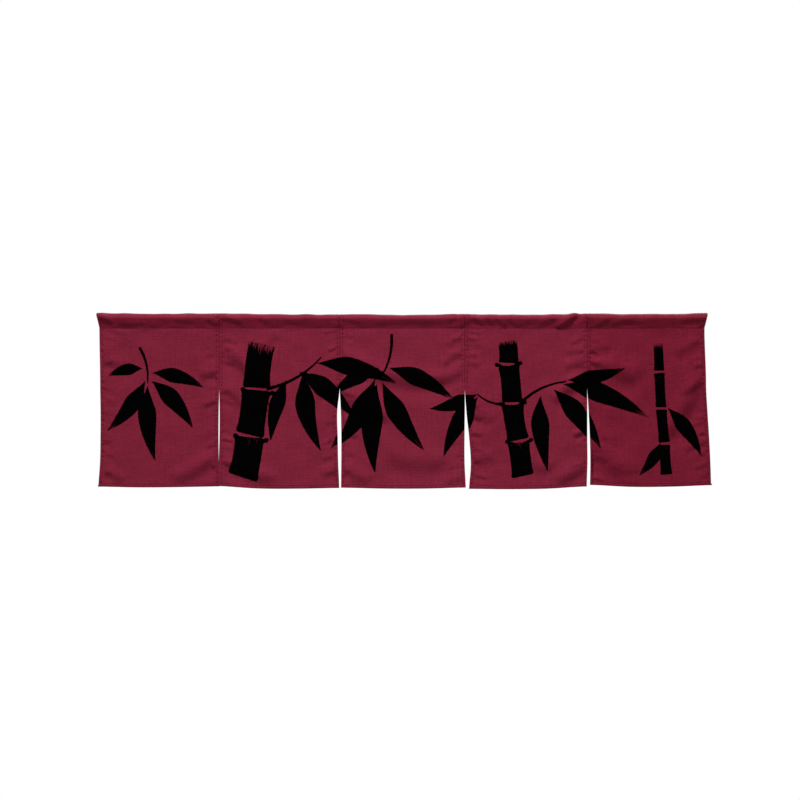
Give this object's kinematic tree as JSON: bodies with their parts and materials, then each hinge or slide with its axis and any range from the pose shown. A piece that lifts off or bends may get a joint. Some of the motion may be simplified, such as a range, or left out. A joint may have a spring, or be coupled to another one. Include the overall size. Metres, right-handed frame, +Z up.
{
  "type": "noren curtain",
  "caption": "Short split door curtain: burgundy cloth panels sewn side by side, open slits between them, hung from a sleeve for a rod, with a bold black bamboo print.",
  "frame": {"origin": "middle of the top edge of the rod sleeve", "axes": "+X along the rod, towards the right-hand end seen from the front; +Y out of the back of the curtain; +Z up"},
  "size_m": [1.7654, 0.0325, 0.5053],
  "materials": {
    "cloth": "plain-woven burgundy cloth, matt, with faint slubs",
    "stitching": "burgundy sewing thread, a shade darker than the cloth",
    "print": "matt black pigment printed into the cloth"
  },
  "bodies": {
    "root": {"panel_1": "cloth", "panel_2": "cloth", "panel_3": "cloth", "panel_4": "cloth", "panel_5": "cloth", "rod_sleeve": "cloth"}
  },
  "joints": []
}
